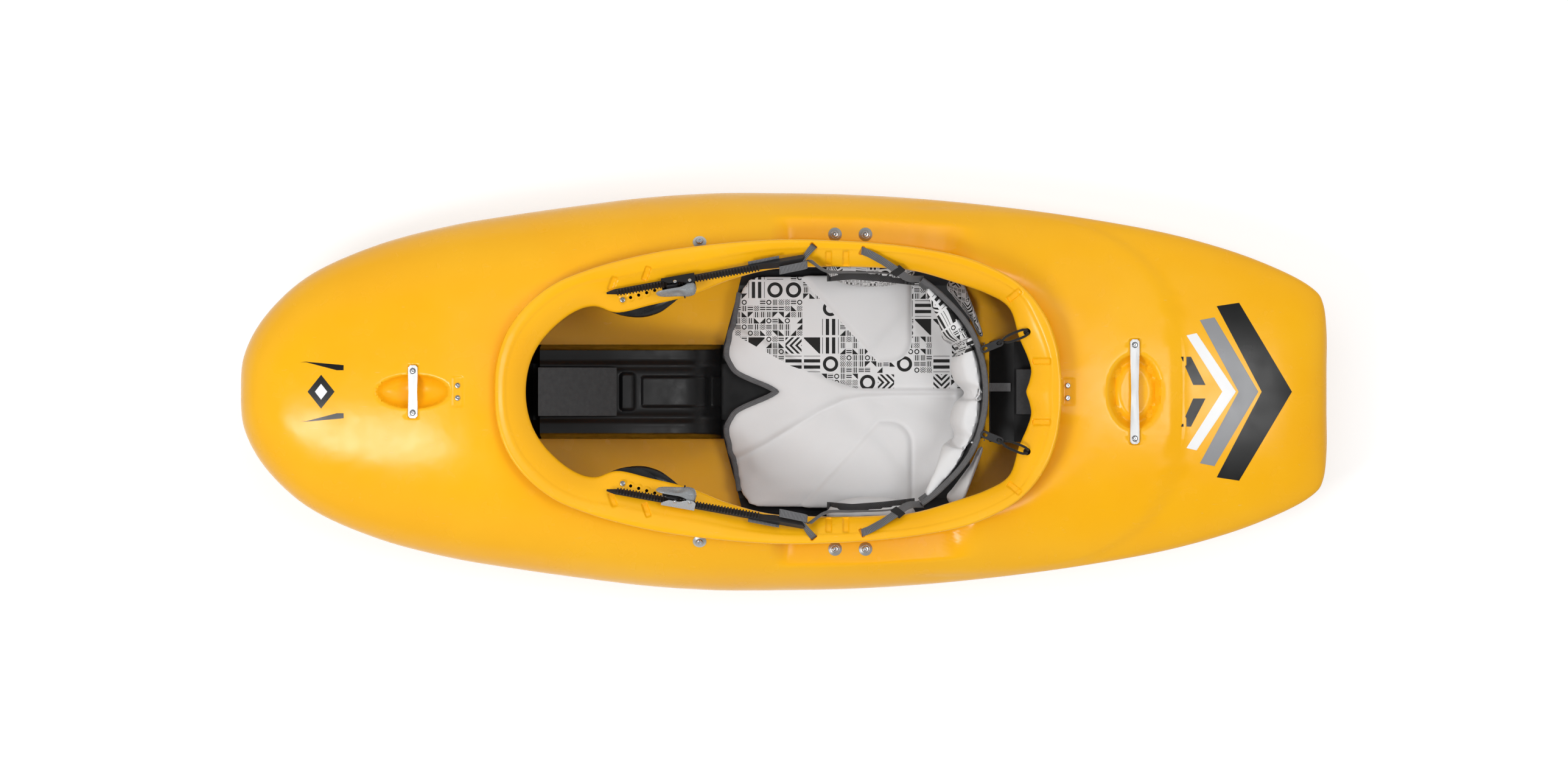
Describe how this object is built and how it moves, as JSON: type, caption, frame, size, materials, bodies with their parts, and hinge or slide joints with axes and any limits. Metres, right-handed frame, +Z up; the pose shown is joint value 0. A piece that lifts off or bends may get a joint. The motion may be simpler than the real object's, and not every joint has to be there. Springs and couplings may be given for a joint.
{
  "type": "whitewater kayak",
  "caption": "Short whitewater play kayak with a fitted cockpit: padded seat, ratchet-adjusted backband, hip pads, thigh braces and recessed grab handles.",
  "frame": {"origin": "bottom centre of the bounding box: the flat planing bottom lies on z = 0, half way along the hull", "axes": "+X towards the stern, +Y towards the paddler's right, +Z up"},
  "size_m": [1.9304, 0.7072, 0.3553],
  "materials": {
    "hull_plastic": "satin moulded polyethylene",
    "black_plastic": "satin",
    "clear_plastic": "clear, glossy",
    "dark_foam": "matt closed-cell foam",
    "pad_cloth": "smooth printed cloth over foam",
    "webbing": "woven",
    "elastic": "woven sheath",
    "aluminium": "brushed, satin",
    "stainless": "bright",
    "washer": "grey, satin"
  },
  "bodies": {
    "hull": {"hull_shell": "hull_plastic", "bow_handle": "aluminium", "stern_handle": "aluminium", "bow_handle_screw_left": "stainless", "bow_handle_screw_right": "stainless", "stern_handle_screw_left": "stainless", "stern_handle_screw_right": "stainless", "front_pillar_screw_left": "stainless", "front_pillar_screw_right": "stainless", "rear_pillar_screw_left": "stainless", "rear_pillar_screw_right": "stainless", "front_pillar": "black_plastic", "front_foam_block": "dark_foam", "bow_foam_pillar": "dark_foam", "rear_pillar": "black_plastic", "rear_foam_block": "dark_foam", "stern_foam_pillar": "dark_foam", "middle_webbing": "webbing", "seat_pan": "black_plastic", "seat_cushion": "pad_cloth", "seat_bolt_front_left": "stainless", "seat_bolt_front_right": "stainless", "seat_bolt_front_washer_left": "washer", "seat_bolt_front_washer_right": "washer", "seat_bolt_rear_left": "stainless", "seat_bolt_rear_right": "stainless", "seat_bolt_rear_washer_left": "washer", "seat_bolt_rear_washer_right": "washer", "brace_bolt_left": "stainless", "brace_bolt_right": "stainless", "brace_bolt_washer_left": "washer", "brace_bolt_washer_right": "washer", "hip_pad_left": "pad_cloth", "hip_pad_right": "pad_cloth", "tail_pad_left": "pad_cloth", "tail_pad_right": "pad_cloth", "hook_screw_left": "stainless", "hook_screw_right": "stainless", "buckle_frame_left": "stainless", "buckle_frame_right": "stainless", "side_webbing_left": "webbing", "side_webbing_right": "webbing", "hip_webbing_left": "webbing", "hip_webbing_right": "webbing", "elastic_loop_left": "elastic", "elastic_loop_right": "elastic"},
    "backband": {"backband_shell": "black_plastic", "backband_pad": "pad_cloth", "backband_binding": "webbing", "rear_clip_left": "black_plastic", "rear_clip_right": "black_plastic"},
    "ladder_strap_left": {"ladder_strap_left": "black_plastic"},
    "buckle_lever_left": {"buckle_lever_left": "clear_plastic"},
    "buckle_pawl_left": {"buckle_pawl_left": "black_plastic"},
    "thigh_brace_left": {"thigh_brace_left": "black_plastic"},
    "ladder_strap_right": {"ladder_strap_right": "black_plastic"},
    "buckle_lever_right": {"buckle_lever_right": "clear_plastic"},
    "buckle_pawl_right": {"buckle_pawl_right": "black_plastic"},
    "thigh_brace_right": {"thigh_brace_right": "black_plastic"}
  },
  "joints": [
    {"name": "backband_slide", "type": "slide", "parent": "hull", "child": "backband", "axis": [-1, 0, 0], "range_m": [0, 0.09], "deforming": ["side_webbing_left", "side_webbing_right", "hip_webbing_left", "hip_webbing_right", "elastic_loop_left", "elastic_loop_right"]},
    {"name": "strap_slide_left", "type": "slide", "parent": "hull", "child": "ladder_strap_left", "axis": [-0.9828, 0.1737, 0.0636], "range_m": [0, 0.09]},
    {"name": "lever_pivot_left", "type": "hinge", "parent": "hull", "child": "buckle_lever_left", "pos_m": [-0.16629, -0.18789, 0.33419], "axis": [0.0619, 0.633, -0.7717], "range_deg": [0, 70]},
    {"name": "pawl_pivot_left", "type": "hinge", "parent": "hull", "child": "buckle_pawl_left", "pos_m": [-0.19236, -0.18564, 0.33394], "axis": [-0.0619, -0.633, 0.7717], "range_deg": [0, 10], "stiffness_Nm_per_rad": 0.008, "springref_deg": -17.19},
    {"name": "brace_slide_left", "type": "slide", "parent": "hull", "child": "thigh_brace_left", "axis": [0.9563, -0.2857, -0.0619], "range_m": [0, 0.0592]},
    {"name": "strap_slide_right", "type": "slide", "parent": "hull", "child": "ladder_strap_right", "axis": [-0.9828, -0.1737, 0.0636], "range_m": [0, 0.09]},
    {"name": "lever_pivot_right", "type": "hinge", "parent": "hull", "child": "buckle_lever_right", "pos_m": [-0.16629, 0.18789, 0.33419], "axis": [-0.0619, 0.633, 0.7717], "range_deg": [0, 70]},
    {"name": "pawl_pivot_right", "type": "hinge", "parent": "hull", "child": "buckle_pawl_right", "pos_m": [-0.19236, 0.18564, 0.33394], "axis": [0.0619, -0.633, -0.7717], "range_deg": [0, 10], "stiffness_Nm_per_rad": 0.008, "springref_deg": -17.19},
    {"name": "brace_slide_right", "type": "slide", "parent": "hull", "child": "thigh_brace_right", "axis": [0.9563, 0.2857, -0.0619], "range_m": [0, 0.0592]}
  ],
  "couplings": [
    {"joint": "strap_slide_left", "follows": "backband_slide", "ratio": 1},
    {"joint": "strap_slide_right", "follows": "backband_slide", "ratio": 1}
  ]
}
